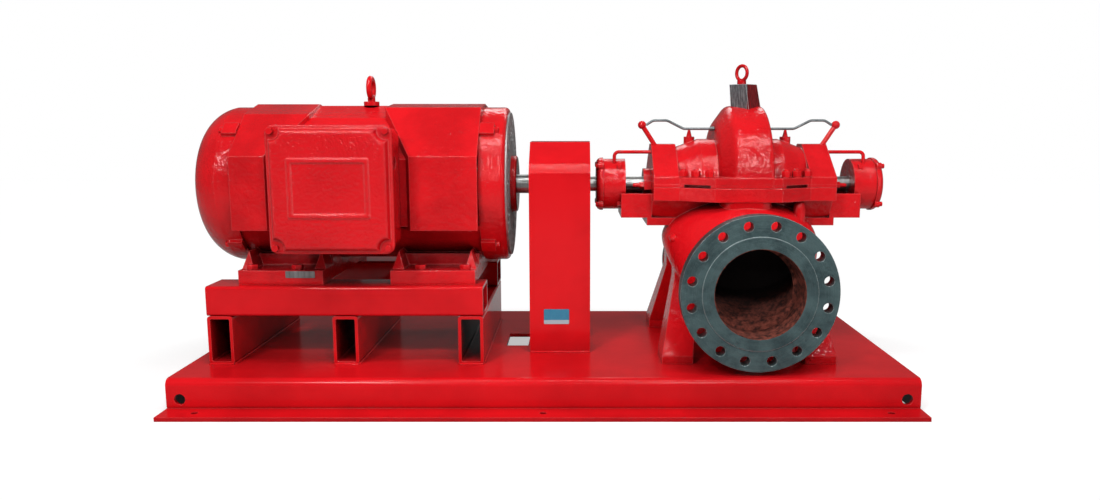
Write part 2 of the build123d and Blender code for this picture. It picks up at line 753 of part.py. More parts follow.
# Lower half casing: barrel, volute, both nozzles, feet and bearing brackets
with BuildPart() as lower_casing:
    with BuildSketch(upright):
        with BuildLine():
            Polyline(*barrel_outline(1), close=True)
        make_face()
    revolve(axis=shaft_axis)
    with BuildSketch(facing(volute_offset_y)) as belly:
        with Locations((pump_mid_x, shaft_height)):
            Rectangle(2 * volute_half_width, volute_radius, align=(Align.CENTER, Align.MIN))
        fillet(belly.vertices().group_by(Axis.Z)[-1], volute_shoulder)
    revolve(axis=volute_axis)
    with BuildSketch(Plane.XY.offset(parting)):
        with BuildLine():
            Polyline(*flange_plan, close=True)
        make_face()
    extrude(amount=-lower_flange)
    split(bisect_by=Plane.XY.offset(parting), keep=Keep.BOTTOM)
    neck_end = -suction_y + suction_flange_thickness
    with BuildSketch(facing(neck_end)):
        with Locations((pump_mid_x, suction_height)):
            Circle(neck_radius)
    for chest_y, chest_z, half_width, half_height in chest_sections:
        with BuildSketch(facing(chest_y)):
            with Locations((pump_mid_x, chest_z)):
                Ellipse(half_width, half_height)
    loft()
    out_end = discharge_y - discharge_flange_thickness
    with BuildSketch(facing(out_end)):
        with Locations((pump_mid_x, discharge_height)):
            Circle(discharge_bore_radius + discharge_neck_wall)
    with BuildSketch(facing(out_end - 90)):
        with Locations((pump_mid_x, discharge_height + 24)):
            Circle(discharge_bore_radius + discharge_neck_wall + 4)
    with BuildSketch(facing(60)):
        with Locations((pump_mid_x, 440)):
            Circle(discharge_bore_radius + 20)
    loft()
    for side in (-1, 1):
        for front in (-1, 1):
            pad_x = pump_mid_x + side * (pump_mid_x - foot_pad_left - foot_pad_length / 2)
            pad_y = front * (foot_pad_near_y + foot_pad_far_y) / 2
            pad_depth = foot_pad_far_y - foot_pad_near_y
            with BuildSketch(Plane.XY.offset(deck_height)):
                with Locations((pad_x, pad_y)):
                    Rectangle(foot_pad_length, pad_depth)
            extrude(amount=foot_pad_height)
            with BuildSketch(Plane.XY.offset(deck_height + foot_pad_height)):
                with Locations((pad_x, pad_y)):
                    Rectangle(foot_pad_length, pad_depth)
            with BuildSketch(Plane.XY.offset(leg_top_z)):
                with Locations((pump_mid_x + side * leg_top_x, front * leg_top_y)):
                    Rectangle(leg_top_length, leg_top_depth)
            loft()
            with BuildSketch(Plane.XY.offset(leg_top_z)):
                with Locations((pump_mid_x + side * leg_top_x, front * leg_top_y)):
                    Rectangle(leg_top_length, leg_top_depth)
            extrude(amount=barrel_end_radius)
    for side, end_x in ((-1, casing_left), (1, casing_right)):
        with BuildSketch(across(end_x)):
            with Locations((0, cradle_bottom)):
                Rectangle(2 * cradle_half_width, cradle_top - cradle_bottom, align=(Align.CENTER, Align.MIN))
        extrude(amount=side * cradle_reach)
        with BuildSketch(across(end_x)):
            with Locations((0, cradle_top)):
                Rectangle(
                    2 * (cradle_half_width - cradle_wall),
                    cradle_top - cradle_bottom - cradle_wall,
                    align=(Align.CENTER, Align.MAX),
                )
        extrude(amount=side * (cradle_reach - bearing_seat), mode=Mode.SUBTRACT)
        with BuildSketch(across(end_x + side * cradle_reach)):
            with Locations((0, shaft_height)):
                Circle(bearing_radius)
        extrude(amount=-side * bearing_seat, mode=Mode.SUBTRACT)
        with BuildSketch(across(end_x)):
            with Locations((0, cradle_bottom)):
                Rectangle(2 * cradle_half_width, knee_drop, align=(Align.CENTER, Align.MAX))
        extrude(amount=side * knee_reach)
        with BuildSketch(across(end_x)):
            with Locations((0, cradle_bottom)):
                Rectangle(2 * cradle_half_width, knee_drop, align=(Align.CENTER, Align.MAX))
        extrude(amount=-side * flange_end_length)
    with BuildSketch(facing(suction_flange_y)):
        with Locations((pump_mid_x, suction_height)):
            Circle(suction_flange_radius)
    extrude(amount=suction_face_rise - suction_flange_thickness)
    with BuildSketch(facing(suction_flange_y)):
        with Locations((pump_mid_x, suction_height)):
            Circle(suction_face_radius)
    extrude(amount=suction_face_rise)
    with BuildSketch(facing(discharge_flange_y)):
        with Locations((pump_mid_x, discharge_height)):
            Circle(discharge_flange_radius)
    extrude(amount=discharge_flange_thickness - discharge_face_rise)
    with BuildSketch(facing(discharge_flange_y)):
        with Locations((pump_mid_x, discharge_height)):
            Circle(discharge_face_radius)
    extrude(amount=-discharge_face_rise)
    with BuildSketch(facing(-suction_y)):
        with Locations((pump_mid_x, suction_height)):
            Circle(suction_bore_radius)
    extrude(amount=-suction_bore_depth, mode=Mode.SUBTRACT)
    with BuildSketch(facing(-suction_y + suction_bore_depth)):
        with Locations((pump_mid_x, suction_height)):
            Circle(suction_throat_radius)
    with BuildSketch(facing(-suction_passage_end)):
        with Locations((pump_mid_x, suction_height + 60)):
            Ellipse(suction_throat_radius + 50, suction_throat_radius - 20)
    loft(mode=Mode.SUBTRACT)
    with BuildSketch(facing(discharge_y)):
        with Locations((pump_mid_x, discharge_height)):
            Circle(discharge_bore_radius)
    extrude(amount=discharge_bore_depth, mode=Mode.SUBTRACT)
    with BuildSketch(facing(-suction_y)):
        with Locations((pump_mid_x, suction_height)):
            with PolarLocations(suction_bolt_circle, suction_bolts, start_angle=180 / suction_bolts):
                Circle(suction_bolt_radius)
    extrude(amount=-suction_flange_thickness, mode=Mode.SUBTRACT)
    with BuildSketch(facing(discharge_y)):
        with Locations((pump_mid_x, discharge_height)):
            with PolarLocations(discharge_bolt_circle, discharge_bolts, start_angle=180 / discharge_bolts):
                Circle(discharge_bolt_radius)
    extrude(amount=discharge_flange_thickness, mode=Mode.SUBTRACT)
    with BuildSketch(across(casing_left)):
        with Locations((0, shaft_height)):
            Circle(shaft_tunnel_radius)
    extrude(amount=2 * casing_half_length, mode=Mode.SUBTRACT)
save(lower_casing.part, "pump_lower_casing")

# Glands on both ends of the casing
for node, face_x, turn in (("gland_left", casing_left, -1), ("gland_right", casing_right, 1)):
    with BuildPart() as gland:
        with BuildSketch(across(face_x)):
            with Locations((0, shaft_height)):
                Circle(gland_radius)
                Rectangle(2 * gland_ear_reach, gland_ear_width)
                Circle(pump_shaft_radius + rotor_gap, mode=Mode.SUBTRACT)
        extrude(amount=turn * gland_length)
    save(gland.part, node)

# Bearing housings in their brackets
housings = {}
for node, inner_x, turn in (
    ("bearing_housing_left", bearing_inner_left, -1),
    ("bearing_housing_right", bearing_inner_right, 1),
):
    with BuildPart() as housing:
        with BuildSketch(across(inner_x)):
            with Locations((0, shaft_height)):
                Circle(bearing_radius)
                Circle(pump_shaft_radius + running_clearance, mode=Mode.SUBTRACT)
        extrude(amount=turn * bearing_length)
        fillet(housing.edges().filter_by(GeomType.CIRCLE).group_by(Axis.X)[0 if turn > 0 else -1][-1], 4)
    housings[turn] = housing.part
    save(housing.part, node)

# Open bearing cover on the coupling side, closed one on the far end
with BuildPart() as open_cover:
    with BuildSketch(across(cover_left)):
        with Locations((0, shaft_height)):
            Circle(bearing_cover_radius)
            Circle(pump_shaft_radius + rotor_gap, mode=Mode.SUBTRACT)
    extrude(amount=-bearing_cover_length)
    fillet(open_cover.faces().sort_by(Axis.X)[0].outer_wire().edges(), bearing_cover_length * 0.8)
    with BuildSketch(across(cover_left)):
        with Locations((0, shaft_height)):
            with PolarLocations(bearing_cover_radius, 4, start_angle=45):
                Circle(bearing_ear_radius)
    extrude(amount=-bearing_ear_length)
save(open_cover.part, "bearing_cover_left")

with BuildPart() as closed_cover:
    with BuildSketch(across(cover_right)):
        with Locations((0, shaft_height)):
            Circle(bearing_cover_radius)
    extrude(amount=bearing_cover_length)
    fillet(closed_cover.faces().sort_by(Axis.X)[-1].edges(), bearing_cover_length * 0.8)
    with BuildSketch(across(cover_right)):
        with Locations((0, shaft_height)):
            with PolarLocations(bearing_cover_radius, 4, start_angle=45):
                Circle(bearing_ear_radius)
    extrude(amount=bearing_ear_length)
save(closed_cover.part, "bearing_cover_right")

# Air cocks on the barrel bosses
cock_seat = parting + barrel_mid_radius + vent_boss_height
for node, side in (("air_cock_left", -1), ("air_cock_right", 1)):
    with BuildPart() as cock:
        with BuildSketch(Plane.XY.offset(cock_seat)):
            with Locations((pump_mid_x + side * vent_offset, 0)):
                RegularPolygon(cock_radius, 6)
        extrude(amount=cock_height, taper=12)
    save(cock.part, node)

# Pump eyebolt, its ring turned to face the suction side
with BuildPart() as pump_eyebolt:
    boss_x = pump_mid_x + top_boss_shift
    with BuildSketch(Plane.XY.offset(top_boss_top)):
        with Locations((boss_x, 0)):
            Circle(pump_eye_collar_radius)
    extrude(amount=pump_eye_collar_height)
    pump_eye_mid = top_boss_top + pump_eye_collar_height + pump_eye_ring_radius
    eye_normal = (-sin(radians(pump_eye_turn)), -cos(radians(pump_eye_turn)), 0)
    eye_plane = Plane(origin=(boss_x, 0, pump_eye_mid), x_dir=(0, 0, 1), z_dir=eye_normal)
    with BuildSketch(Plane(origin=eye_plane.origin, x_dir=(0, 0, 1), z_dir=eye_plane.y_dir)):
        with Locations((pump_eye_ring_radius, 0)):
            Circle(pump_eye_wire_radius)
    revolve(axis=Axis(eye_plane.origin, eye_plane.z_dir))
save(pump_eyebolt.part, "pump_eyebolt")

# Slanting nipples with their elbows, seated on the barrel
nipples = {}
for node, end_x, turn in (("flush_nipple_left", casing_left, -1), ("flush_nipple_right", casing_right, 1)):
    foot_x = end_x - turn * nipple_foot_inset
    top_x = end_x + turn * (nipple_reach - nipple_foot_inset)
    nipple_line = Vector(top_x - foot_x, 0, nipple_top - parting - barrel_end_radius)
    nipple_plane = Plane(origin=(top_x, flush_y, nipple_top), x_dir=(0, 1, 0), z_dir=nipple_line)
    with BuildPart() as nipple:
        with BuildSketch(nipple_plane):
            Circle(nipple_radius)
        extrude(amount=-nipple_line.length * 1.3)
        with Locations(nipple_plane):
            Sphere(elbow_radius)
        add(upper_casing.part, mode=Mode.SUBTRACT)
    nipples[turn] = nipple.part
    save(nipple.part, node)

# Flush tubes from the elbows to the volute's flanks, with a nut at the volute
for node, end_x, turn in (("flush_tube_left", casing_left, -1), ("flush_tube_right", casing_right, 1)):
    top_x = end_x + turn * (nipple_reach - nipple_foot_inset)
    tube_start = top_x - turn * elbow_radius
    volute_flank = pump_mid_x + turn * volute_half_width
    with BuildPart() as flush_tube:
        with BuildLine(facing(flush_y)) as tube_path:
            FilletPolyline(
                (tube_start, nipple_top),
                (tube_start - turn * flush_crest_offset, flush_crest),
                (tube_start - turn * 3 * flush_crest_offset, flush_crest),
                (tube_start - turn * flush_dip_offset, flush_level),
                (volute_flank, flush_level),
                radius=flush_tube_bend,
            )
        with BuildSketch(Plane(origin=tube_path.wire() @ 0, z_dir=tube_path.wire() % 0)):
            Circle(flush_tube_radius)
        sweep()
        with BuildSketch(across(volute_flank)):
            with Locations((flush_y, flush_level)):
                RegularPolygon(flush_nut_radius, 6)
        extrude(amount=turn * flush_nut_length)
        add(nipples[turn], mode=Mode.SUBTRACT)
    save(flush_tube.part, node)

# Seal pipes from the casing's ends down to the bearing housings
for node, end_x, turn, housing_x in (
    ("seal_pipe_left", casing_left, -1, bearing_inner_left - bearing_length / 2),
    ("seal_pipe_right", casing_right, 1, bearing_inner_right + bearing_length / 2),
):
    with BuildPart() as seal_pipe:
        with BuildLine(facing(seal_pipe_y)) as seal_path:
            FilletPolyline(
                (end_x, seal_pipe_level),
                (housing_x, seal_pipe_level),
                (housing_x, shaft_height + bearing_radius / 2),
                radius=seal_pipe_bend,
            )
        with BuildSketch(Plane(origin=seal_path.wire() @ 0, z_dir=seal_path.wire() % 0)):
            Circle(seal_pipe_radius)
        sweep()
        add(housings[turn], mode=Mode.SUBTRACT)
    save(seal_pipe.part, node)

print("built", len(os.listdir("parts")), "pieces")
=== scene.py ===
from math import pi, radians

import bmesh
import bpy
import numpy as np
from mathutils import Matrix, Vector


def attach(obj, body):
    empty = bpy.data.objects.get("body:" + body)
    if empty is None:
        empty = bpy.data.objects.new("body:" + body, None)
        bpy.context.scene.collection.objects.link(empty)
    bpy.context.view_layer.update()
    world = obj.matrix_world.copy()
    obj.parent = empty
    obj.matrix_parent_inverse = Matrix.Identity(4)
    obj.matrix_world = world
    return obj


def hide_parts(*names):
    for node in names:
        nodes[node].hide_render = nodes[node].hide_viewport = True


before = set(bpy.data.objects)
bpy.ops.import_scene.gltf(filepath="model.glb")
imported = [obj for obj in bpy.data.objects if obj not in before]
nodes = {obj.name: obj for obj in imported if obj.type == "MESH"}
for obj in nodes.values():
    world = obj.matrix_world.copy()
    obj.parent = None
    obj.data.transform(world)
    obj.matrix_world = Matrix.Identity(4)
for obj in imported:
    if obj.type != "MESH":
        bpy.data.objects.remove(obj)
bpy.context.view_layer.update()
print("frame loaded:", len(nodes), "nodes")

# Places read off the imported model
shaftZ = 0.609
motorX = -0.557
pumpX = 0.603
suctionZ = 0.330
dischargeZ = 0.300
bossX = 0.624


# Shader helpers: a node with its settings, a link or a plain value, and sums on sockets
def addNode(tree, kind, **settings):
    made = tree.nodes.new(kind)
    for key, value in settings.items():
        setattr(made, key, value)
    return made


def feed(tree, socket, value):
    if isinstance(value, bpy.types.NodeSocket):
        tree.links.new(value, socket)
    else:
        socket.default_value = value


def maths(tree, operation, *values, clamp=False):
    made = addNode(tree, "ShaderNodeMath", operation=operation, use_clamp=clamp)
    for socket, value in zip(made.inputs, values):
        feed(tree, socket, value)
    return made.outputs[0]


def ramp(tree, value, low, high, outLow=0.0, outHigh=1.0):
    made = addNode(tree, "ShaderNodeMapRange", interpolation_type="SMOOTHSTEP")
    for label, v in (("Value", value), ("From Min", low), ("From Max", high), ("To Min", outLow), ("To Max", outHigh)):
        feed(tree, made.inputs[label], v)
    return made.outputs["Result"]


def blendColours(tree, factor, first, second, mode="MIX"):
    made = addNode(tree, "ShaderNodeMix", data_type="RGBA", blend_type=mode)
    feed(tree, made.inputs[0], factor)
    feed(tree, made.inputs[6], first)
    feed(tree, made.inputs[7], second)
    return made.outputs[2]


def noise(tree, vector, scale, detail=2.0, roughness=0.5):
    made = addNode(tree, "ShaderNodeTexNoise")
    feed(tree, made.inputs["Vector"], vector)
    feed(tree, made.inputs["Scale"], scale)
    made.inputs["Detail"].default_value = detail
    made.inputs["Roughness"].default_value = roughness
    return made.outputs["Fac"]


def newGroup(name, inputs, outputs):
    tree = bpy.data.node_groups.new(name, "ShaderNodeTree")
    for label, kind, value in inputs:
        tree.interface.new_socket(label, in_out="INPUT", socket_type=kind).default_value = value
    for label, kind in outputs:
        tree.interface.new_socket(label, in_out="OUTPUT", socket_type=kind)
    return tree, tree.nodes.new("NodeGroupInput").outputs, tree.nodes.new("NodeGroupOutput").inputs


def useGroup(tree, group, **values):
    made = addNode(tree, "ShaderNodeGroup", node_tree=group)
    for label, value in values.items():
        feed(tree, made.inputs[label], value)
    return made.outputs


# Enamel surface: long waves of the film with fine pips where it dried rough
def makeEnamelSkin():
    tree, given, out = newGroup("enamelSkin",
        [("Waves", "NodeSocketFloat", 90.0), ("Pips", "NodeSocketFloat", 520.0), ("Pip Share", "NodeSocketFloat", 0.3)],
        [("Height", "NodeSocketFloat")])
    place = addNode(tree, "ShaderNodeTexCoord").outputs["Object"]
    waves = noise(tree, place, given["Waves"], 1.0)
    pips = noise(tree, place, given["Pips"], 2.0, 0.6)
    tree.links.new(maths(tree, "ADD", waves, maths(tree, "MULTIPLY", pips, given["Pip Share"])), out["Height"])
    return tree


# Sand-cast skin under the paint: shallow hollows and grit
def makeCastSkin():
    tree, given, out = newGroup("castSkin",
        [("Hollows", "NodeSocketFloat", 28.0), ("Grit", "NodeSocketFloat", 330.0), ("Grit Share", "NodeSocketFloat", 0.35)],
        [("Height", "NodeSocketFloat")])
    place = addNode(tree, "ShaderNodeTexCoord").outputs["Object"]
    hollows = noise(tree, place, given["Hollows"], 3.0, 0.55)
    grit = noise(tree, place, given["Grit"], 2.0, 0.65)
    tree.links.new(maths(tree, "ADD", hollows, maths(tree, "MULTIPLY", grit, given["Grit Share"])), out["Height"])
    return tree


# Paint colour that drifts between two tones
def makePaintTone():
    tree, given, out = newGroup("paintTone",
        [("Bright", "NodeSocketColor", (0.8, 0.01, 0.02, 1)), ("Deep", "NodeSocketColor", (0.5, 0.01, 0.01, 1)),
         ("Patch", "NodeSocketFloat", 4.0)],
        [("Color", "NodeSocketColor"), ("Drift", "NodeSocketFloat")])
    place = addNode(tree, "ShaderNodeTexCoord").outputs["Object"]
    drift = ramp(tree, noise(tree, place, given["Patch"], 4.0, 0.6), 0.35, 0.7)
    tree.links.new(blendColours(tree, drift, given["Bright"], given["Deep"]), out["Color"])
    tree.links.new(drift, out["Drift"])
    return tree


# Rounded edges: the normal turned round them, and a mask that is 1 on them
def makeSoftEdge():
    tree, given, out = newGroup("softEdge",
        [("Radius", "NodeSocketFloat", 0.002), ("Gain", "NodeSocketFloat", 6.0)],
        [("Normal", "NodeSocketVector"), ("Edge", "NodeSocketFloat")])
    bevel = addNode(tree, "ShaderNodeBevel", samples=4)
    tree.links.new(given["Radius"], bevel.inputs["Radius"])
    true = addNode(tree, "ShaderNodeNewGeometry").outputs["Normal"]
    same = addNode(tree, "ShaderNodeVectorMath", operation="DOT_PRODUCT")
    tree.links.new(bevel.outputs["Normal"], same.inputs[0])
    tree.links.new(true, same.inputs[1])
    turned = maths(tree, "SUBTRACT", 1.0, same.outputs["Value"])
    tree.links.new(bevel.outputs["Normal"], out["Normal"])
    tree.links.new(maths(tree, "MULTIPLY", turned, given["Gain"], clamp=True), out["Edge"])
    return tree


# Distance from a line along Y through x, z; the flanges are turned about such lines
def makeAboutY():
    tree, given, out = newGroup("aboutY",
        [("X", "NodeSocketFloat", 0.0), ("Z", "NodeSocketFloat", 0.0)],
        [("Radius", "NodeSocketFloat"), ("Y", "NodeSocketFloat")])
    parts = addNode(tree, "ShaderNodeSeparateXYZ")
    tree.links.new(addNode(tree, "ShaderNodeTexCoord").outputs["Object"], parts.inputs[0])
    dx = maths(tree, "SUBTRACT", parts.outputs["X"], given["X"])
    dz = maths(tree, "SUBTRACT", parts.outputs["Z"], given["Z"])
    square = maths(tree, "ADD", maths(tree, "MULTIPLY", dx, dx), maths(tree, "MULTIPLY", dz, dz))
    tree.links.new(maths(tree, "SQRT", square), out["Radius"])
    tree.links.new(parts.outputs["Y"], out["Y"])
    return tree


# Inside of the suction passage behind the bore: an ellipse that rises, widens and flattens with depth
def makeChestPassage():
    tree, given, out = newGroup("chestPassage", [("Margin", "NodeSocketFloat", 1.12)], [("Inside", "NodeSocketFloat")])
    parts = addNode(tree, "ShaderNodeSeparateXYZ")
    tree.links.new(addNode(tree, "ShaderNodeTexCoord").outputs["Object"], parts.inputs[0])
    depth = maths(tree, "DIVIDE", maths(tree, "ADD", parts.outputs["Y"], 0.313), 0.163)
    across = maths(tree, "DIVIDE", maths(tree, "SUBTRACT", parts.outputs["X"], pumpX),
                   maths(tree, "ADD", 0.116, maths(tree, "MULTIPLY", depth, 0.045)))
    rise = maths(tree, "SUBTRACT", parts.outputs["Z"], maths(tree, "ADD", suctionZ, maths(tree, "MULTIPLY", depth, 0.063)))
    along = maths(tree, "DIVIDE", rise, maths(tree, "SUBTRACT", 0.116, maths(tree, "MULTIPLY", depth, 0.020)))
    span = maths(tree, "ADD", maths(tree, "MULTIPLY", across, across), maths(tree, "MULTIPLY", along, along))
    near = maths(tree, "LESS_THAN", maths(tree, "SQRT", span), given["Margin"])
    behind = maths(tree, "MULTIPLY", maths(tree, "GREATER_THAN", depth, -0.02), maths(tree, "LESS_THAN", depth, 1.12))
    tree.links.new(maths(tree, "MULTIPLY", near, behind), out["Inside"])
    return tree


enamelSkin = makeEnamelSkin()
castSkin = makeCastSkin()
paintTone = makePaintTone()
softEdge = makeSoftEdge()
aboutY = makeAboutY()
chestPassage = makeChestPassage()


def startMaterial(name):
    made = bpy.data.materials.new(name)
    made.use_nodes = True
    tree = made.node_tree
    return made, tree, tree.nodes["Principled BSDF"]


def bumped(tree, height, strength, depth, normal):
    made = addNode(tree, "ShaderNodeBump")
    made.inputs["Strength"].default_value = strength
    made.inputs["Distance"].default_value = depth
    feed(tree, made.inputs["Height"], height)
    feed(tree, made.inputs["Normal"], normal)
    return made.outputs["Normal"]


# Red tones: bright and deep drift at random; low is painted shade for occluded creases; edge is lighter thin paint on
# rounded edges and a painted highlight
redTones = {"bright": (0.80, 0.0085, 0.014, 1), "deep": (0.60, 0.006, 0.010, 1), "edge": (0.95, 0.15, 0.15, 1),
            "low": (0.07, 0.002, 0.003, 1)}
sheetPaint = {"rough": 0.08, "gloss": 0.20, "skin": "enamel", "waves": 60.0, "pips": 420.0, "share": 0.25,
              "strength": 0.35, "depth": 0.0006, "edge": 0.0025, "patch": 2.5}
castPaint = {"rough": 0.09, "gloss": 0.34, "skin": "cast", "waves": 62.0, "pips": 210.0, "share": 0.06,
             "strength": 1.0, "depth": 0.0026, "edge": 0.005, "patch": 5.0}
smallPaint = {"rough": 0.10, "gloss": 0.28, "skin": "enamel", "waves": 160.0, "pips": 700.0, "share": 0.3,
              "strength": 0.4, "depth": 0.0004, "edge": 0.0012, "patch": 9.0}


# Red enamel, with painted shade laid into occluded creases and lighter paint with a painted highlight along rounded
# edges. Returns the open tree too, so that bare places can be laid over it.
def redPaint(name, look, tones=redTones):
    made, tree, shader = startMaterial(name)
    skin = enamelSkin if look["skin"] == "enamel" else castSkin
    coarse, fine, share = ("Waves", "Pips", "Pip Share") if look["skin"] == "enamel" else ("Hollows", "Grit", "Grit Share")
    height = useGroup(tree, skin, **{coarse: look["waves"], fine: look["pips"], share: look["share"]})["Height"]
    tone = useGroup(tree, paintTone, Bright=tones["bright"], Deep=tones["deep"], Patch=look["patch"])
    edge = useGroup(tree, softEdge, Radius=look["edge"])
    # Painted shade: the colour darkens to the low tone where ambient occlusion finds nearby surfaces, in creases,
    # recesses and under parts
    hidden = addNode(tree, "ShaderNodeAmbientOcclusion", samples=4)
    hidden.inputs["Distance"].default_value = 0.20
    paintedCreaseShade = ramp(tree, hidden.outputs["AO"], 0.08, 0.58, 0.97, 0.0)
    colour = blendColours(tree, paintedCreaseShade, tone["Color"], tones["low"])
    # Rounded edges lightened towards the edge tone: partly thinner paint on the edge, partly a painted highlight
    colour = blendColours(tree, maths(tree, "MULTIPLY", edge["Edge"], 0.4), colour, tones["edge"])
    rough = ramp(tree, tone["Drift"], 0.0, 1.0, look["rough"], look["rough"] * 1.5)
    feed(tree, shader.inputs["Base Color"], colour)
    feed(tree, shader.inputs["Roughness"], rough)
    feed(tree, shader.inputs["Normal"], bumped(tree, height, look["strength"], look["depth"], edge["Normal"]))
    shader.inputs["Specular IOR Level"].default_value = look["gloss"]
    return made, tree, shader


# Lays another finish over part of a material: mask 1 shows the new colour, roughness and metal
def layOver(tree, shader, mask, colour, rough, metal):
    def under(label):
        socket = shader.inputs[label]
        return socket.links[0].from_socket if socket.links else socket.default_value
    before = under("Base Color")
    feed(tree, shader.inputs["Base Color"], blendColours(tree, mask, before, colour))
    for label, over in (("Roughness", rough), ("Metallic", metal)):
        below = under(label)
        mix = addNode(tree, "ShaderNodeMix")
        feed(tree, mix.inputs[0], mask)
        feed(tree, mix.inputs[2], below)
        feed(tree, mix.inputs[3], over)
        feed(tree, shader.inputs[label], mix.outputs[0])


# Turned steel with fine rings across an axis
def turnedSteel(name, tone, rough, ringScale):
    made, tree, shader = startMaterial(name)
    place = addNode(tree, "ShaderNodeTexCoord").outputs["Object"]
    stretch = addNode(tree, "ShaderNodeMapping")
    stretch.inputs["Scale"].default_value = (ringScale, 4.0, 4.0)
    tree.links.new(place, stretch.inputs["Vector"])
    rings = noise(tree, stretch.outputs["Vector"], 1.0, 3.0, 0.7)
    stain = noise(tree, place, 18.0, 4.0, 0.6)
    dark = tuple(c * 0.45 for c in tone[:3]) + (1,)
    colour = blendColours(tree, ramp(tree, stain, 0.4, 0.75), tone, dark)
    colour = blendColours(tree, ramp(tree, rings, 0.35, 0.7, 0.0, 0.5), colour, dark)
    edge = useGroup(tree, softEdge, Radius=0.0012)
    feed(tree, shader.inputs["Base Color"], colour)
    feed(tree, shader.inputs["Roughness"], ramp(tree, rings, 0.3, 0.7, rough, rough * 1.7))
    feed(tree, shader.inputs["Normal"], bumped(tree, rings, 0.25, 0.0002, edge["Normal"]))
    shader.inputs["Metallic"].default_value = 1.0
    return made


sheetRed = redPaint("sheetRed", sheetPaint)[0]
castRed = redPaint("castRed", castPaint)[0]
smallRed = redPaint("smallRed", smallPaint)[0]
shaftSteel = turnedSteel("shaftSteel", (0.50, 0.51, 0.50, 1), 0.28, 900.0)
boltSteel = turnedSteel("boltSteel", (0.42, 0.43, 0.42, 1), 0.35, 300.0)
tubeSteel = turnedSteel("tubeSteel", (0.30, 0.34, 0.35, 1), 0.42, 500.0)
screenSteel = turnedSteel("screenSteel", (0.55, 0.56, 0.56, 1), 0.45, 200.0)

# Deck and the box cover have their own paint: the deck a wet gloss, the cover a coarse dimple
deckRed = redPaint("deckRed", dict(sheetPaint, rough=0.15, gloss=0.16, waves=26.0, pips=300.0, share=0.35))[0]
coverRed = redPaint("coverRed", dict(sheetPaint, rough=0.09, gloss=0.42, waves=105.0, pips=300.0, share=0.08,
                                     strength=1.0, depth=0.0022, edge=0.006))[0]


# Black rubber of the coupling element
def makeRubber():
    made, tree, shader = startMaterial("elementRubber")
    place = addNode(tree, "ShaderNodeTexCoord").outputs["Object"]
    bloom = noise(tree, place, 40.0, 4.0, 0.6)
    edge = useGroup(tree, softEdge, Radius=0.002)
    feed(tree, shader.inputs["Base Color"], blendColours(tree, bloom, (0.018, 0.018, 0.018, 1), (0.05, 0.05, 0.052, 1)))
    feed(tree, shader.inputs["Roughness"], ramp(tree, bloom, 0.3, 0.7, 0.55, 0.8))
    feed(tree, shader.inputs["Normal"], bumped(tree, bloom, 0.3, 0.0004, edge["Normal"]))
    return made


elementRubber = makeRubber()


# Blank plate faces: a vinyl label left plain, with a paler lower band, and brushed bare metal
def makeGuardPlateFace():
    made, tree, shader = startMaterial("guardPlateFace")
    place = addNode(tree, "ShaderNodeTexCoord").outputs["Object"]
    parts = addNode(tree, "ShaderNodeSeparateXYZ")
    tree.links.new(place, parts.inputs[0])
    cloud = noise(tree, place, 90.0, 3.0)
    top = blendColours(tree, cloud, (0.025, 0.20, 0.36, 1), (0.05, 0.30, 0.46, 1))
    band = maths(tree, "LESS_THAN", parts.outputs["Z"], 0.199)
    feed(tree, shader.inputs["Base Color"], blendColours(tree, band, top, (0.42, 0.56, 0.62, 1)))
    feed(tree, shader.inputs["Roughness"], ramp(tree, cloud, 0.3, 0.7, 0.3, 0.5))
    return made


guardPlateFace = makeGuardPlateFace()
plateMetal = turnedSteel("plateMetal", (0.36, 0.36, 0.36, 1), 0.4, 60.0)

# Lower casing: red casting, bare turned flanges with a painted highlight on their edges, rusty bores with painted shade
# that deepens inside them
flangeLook = {"metal": (0.085, 0.140, 0.145, 1), "pale": (0.28, 0.36, 0.36, 1), "shade": (0.038, 0.066, 0.072, 1),
              "rustPale": (0.26, 0.062, 0.040, 1), "rustDeep": (0.030, 0.008, 0.006, 1)}


